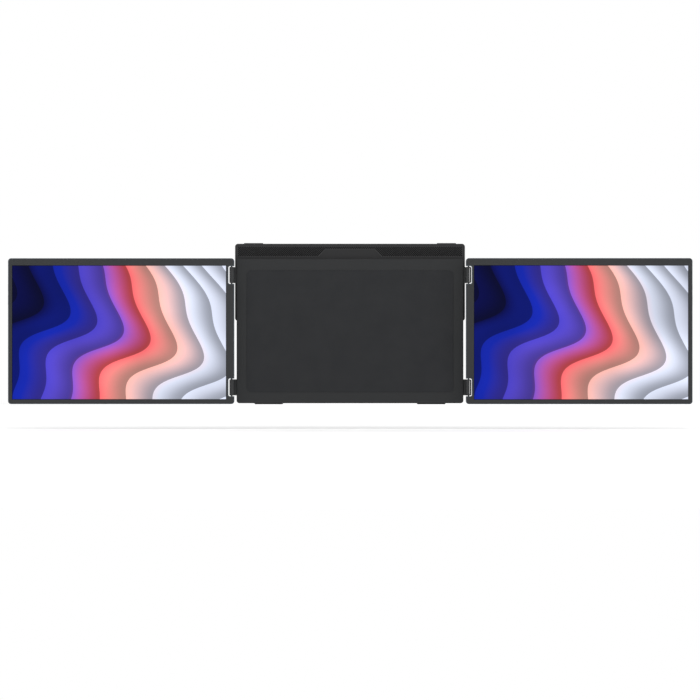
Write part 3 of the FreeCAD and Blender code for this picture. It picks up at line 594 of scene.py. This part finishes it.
class SCREENS_OT_hinges(bpy.types.Operator):
    """Finishes of the hinge arms, blocks, pins and screws."""

    bl_idname = "screens.hinges"
    bl_label = "Hinges"

    def execute(self, context):
        housing = context.scene.screens_housing
        dress(painted_casting("Satin paint on die-cast zinc", housing.arm), nodes_of("arm"))
        dress(painted_casting("Black die-cast zinc", linear("2C2D2F")), nodes_of("hinge_metal"))
        dress(ground_steel("Ground steel pin", linear("3C3E42")), nodes_of("pin_metal"))
        dress(ground_steel("Black zinc-plated screw", linear("2A2B2E")), nodes_of("screw"))
        return {"FINISHED"}


class SCREENS_OT_insides(bpy.types.Operator):
    """Finishes of the boards, sockets, magnets and the other inner pieces."""

    bl_idname = "screens.insides"
    bl_label = "Insides"

    def execute(self, context):
        dress(solder_mask("Solder mask on glass-fibre board", linear("1E4A33")), nodes_of("board"))
        dress(worked_surface("Polyimide film", linear("B0722A"), roughness=0.3), nodes_of("cable_film"))
        dress(pressed_sheet("Pressed aluminium tray", linear("B9BCC0")), nodes_of("panel_metal"))
        dress(pressed_sheet("Pressed zinc-plated steel", linear("9A9DA1")), nodes_of("chassis"))
        dress(pressed_sheet("Drawn nickel-plated steel", linear("A9ACB0")), nodes_of("socket"))
        dress(pressed_sheet("Nickel-plated magnet", linear("B6B9BD")), nodes_of("magnet"))
        dress(moulded_abs("Moulded nylon switch", linear("2A2B2D")), nodes_of("switch"))
        dress(moulded_abs("Moulded speaker case", linear("222325")), nodes_of("speaker"))
        return {"FINISHED"}


class SCREENS_OT_displays(bpy.types.Operator):
    """The lit picture on both displays."""

    bl_idname = "screens.displays"
    bl_label = "Displays"

    def execute(self, context):
        settings = context.scene.screens_picture
        margin = Vector((settings.border, 0.0, settings.border))
        for side in ("left", "right"):
            low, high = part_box(side + "_display")
            picture = lit_picture("Anti-glare display, " + side, settings, low + margin, high - margin)
            dress(picture, [side + "_display"])
        return {"FINISHED"}


class SCREENS_OT_stand(bpy.types.Operator):
    """Finish of the stand, with its perforated strip and the near-black sheet behind it that paints the
    shade in the holes.
    """

    bl_idname = "screens.stand"
    bl_label = "Stand"

    def execute(self, context):
        housing = context.scene.screens_housing
        sizes = context.scene.screens_strip
        dress(powder_coat("Satin powder coat", housing.stand), nodes_of("stand"))
        low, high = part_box("stand_strip")
        land = ((sizes.land_top, low.z + sizes.land_rise), sizes.land_foot)
        behind = Vector((0.0, sizes.shade_sheet_room, 0.0))
        points, faces = perforated_strip(low, high - behind, land, sizes)
        lacquer = powder_coat("Satin lacquer on etched sheet", housing.strip)
        strip = mesh_piece("perforated_strip", points, faces, "stand", lacquer)
        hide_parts("stand_strip")
        # Painted shade: a near-black sheet behind the holes stands in for the shade inside them
        cloth = painted_shade_sheet("Black sheet painting the holes' shade", linear("060607"))
        back = high.y - sizes.shade_sheet_gap
        points, faces = plain_sheet(strip_outline(low, high, land), back - sizes.cloth, back)
        mesh_piece("strip_painted_shade_sheet", points, faces, "stand", cloth)
        return {"FINISHED"}


class SCREENS_OT_stage(bpy.types.Operator):
    """Camera at the photograph's view, plain soft light and a pale floor."""

    bl_idname = "screens.stage"
    bl_label = "Stage"

    def execute(self, context):
        settings = context.scene.screens_stage
        scene = context.scene
        scene.view_settings.view_transform = "Standard"
        plane_y = (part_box("left_bezel")[0].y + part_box("right_bezel")[0].y) / 2
        data = bpy.data.cameras.new("camera")
        data.sensor_width = SENSOR_MM
        data.lens = SENSOR_MM * settings.distance / (PHOTO_PX * MM_PER_PX * MM)
        data.clip_end = CLIP_END
        camera = bpy.data.objects.new("camera", data)
        camera.location = (0.0, plane_y - settings.distance, EYE_HEIGHT)
        camera.rotation_euler = (QUARTER_TURN, 0.0, 0.0)
        scene.collection.objects.link(camera)
        scene.camera = camera
        for name, place, size, field, share in SOFTBOXES:
            softbox(name, place, size, getattr(settings, field) * share)
        even_sky(settings.sky)
        low, high = CAD_BOX
        floor((high - low).length * FLOOR_SPANS)
        return {"FINISHED"}


def softbox(name, place, size, power):
    """Square soft lamp turned to the middle of the object."""
    data = bpy.data.lights.new(name, "AREA")
    data.size = size
    data.energy = power
    lamp = bpy.data.objects.new(name, data)
    lamp.location = place
    lamp.rotation_mode = "QUATERNION"
    lamp.rotation_quaternion = (-Vector(place)).to_track_quat("-Z", "Y")
    bpy.context.scene.collection.objects.link(lamp)


def seen_directly(tree):
    """1 for rays that show the background itself: camera, glossy and transmission rays."""
    rays = add_node(tree, "ShaderNodeLightPath")
    some = add_node(tree, "ShaderNodeMath", {
        0: rays.outputs["Is Camera Ray"], 1: rays.outputs["Is Glossy Ray"]}, operation="MAXIMUM")
    every = add_node(tree, "ShaderNodeMath", {
        0: some.outputs[0], 1: rays.outputs["Is Transmission Ray"]}, operation="MAXIMUM")
    return every.outputs[0]


def even_sky(strength):
    """World: white where it is seen or mirrored, softer where it lights."""
    world = bpy.data.worlds.new("studio")
    world.use_nodes = True
    tree = world.node_tree
    tree.nodes.clear()
    level = add_node(tree, "ShaderNodeMapRange", {
        "Value": seen_directly(tree), "To Min": strength, "To Max": 1.0})
    glow = add_node(tree, "ShaderNodeBackground", {
        "Color": (1.0, 1.0, 1.0, 1.0), "Strength": level.outputs["Result"]})
    add_node(tree, "ShaderNodeOutputWorld", {"Surface": glow.outputs[0]})
    bpy.context.scene.world = world


def floor(size):
    """Pale paper floor, lifted to white where it is seen, with the object's shadow kept."""
    material, tree = new_tree("White studio paper")
    paper = add_node(tree, "ShaderNodeBsdfDiffuse", {"Color": linear("F4F4F4")})
    lift = add_node(tree, "ShaderNodeMath", {0: seen_directly(tree), 1: FLOOR_LIFT},
                    operation="MULTIPLY")
    glow = add_node(tree, "ShaderNodeEmission", {"Strength": lift.outputs[0]})
    both = add_node(tree, "ShaderNodeAddShader", {0: paper.outputs[0], 1: glow.outputs[0]})
    close_tree(tree, both)
    half = size / 2
    mesh = bpy.data.meshes.new("floor")
    corners = [(-half, -half), (half, -half), (half, half), (-half, half)]
    mesh.from_pydata([(x, y, DESK_HEIGHT) for x, y in corners], [], [(0, 1, 2, 3)])
    mesh.materials.append(material)
    sheet = bpy.data.objects.new("floor", mesh)
    bpy.context.scene.collection.objects.link(sheet)


class SCREENS_PT_panel(bpy.types.Panel):
    """Lists the pieces and their settings."""

    bl_idname = "SCREENS_PT_panel"
    bl_label = "Folding side screens"
    bl_space_type = "VIEW_3D"
    bl_region_type = "UI"
    bl_category = "Screens"

    def draw(self, context):
        for operator in OPERATORS:
            self.layout.operator(operator.bl_idname)
        for name, group in GROUPS.items():
            box = self.layout.box()
            for field in group.__annotations__:
                box.prop(getattr(context.scene, name), field)


OPERATORS = (SCREENS_OT_housings, SCREENS_OT_hinges, SCREENS_OT_insides, SCREENS_OT_displays,
             SCREENS_OT_stand, SCREENS_OT_stage)
GROUPS = {
    "screens_housing": HousingSettings,
    "screens_strip": StripSettings,
    "screens_picture": PictureSettings,
    "screens_stage": StageSettings,
}
CLASSES = tuple(GROUPS.values()) + OPERATORS + (SCREENS_PT_panel,)


def register():
    """Registers the classes and hangs each group of settings on the scene."""
    for each in CLASSES:
        bpy.utils.register_class(each)
    for name, group in GROUPS.items():
        setattr(bpy.types.Scene, name, PointerProperty(type=group))


def unregister():
    """Undoes register."""
    for name in GROUPS:
        delattr(bpy.types.Scene, name)
    for each in reversed(CLASSES):
        bpy.utils.unregister_class(each)


def main():
    """Runs the operators in order."""
    register()
    for operator in OPERATORS:
        group, name = operator.bl_idname.split(".")
        getattr(getattr(bpy.ops, group), name)()


if __name__ == "__main__":
    main()
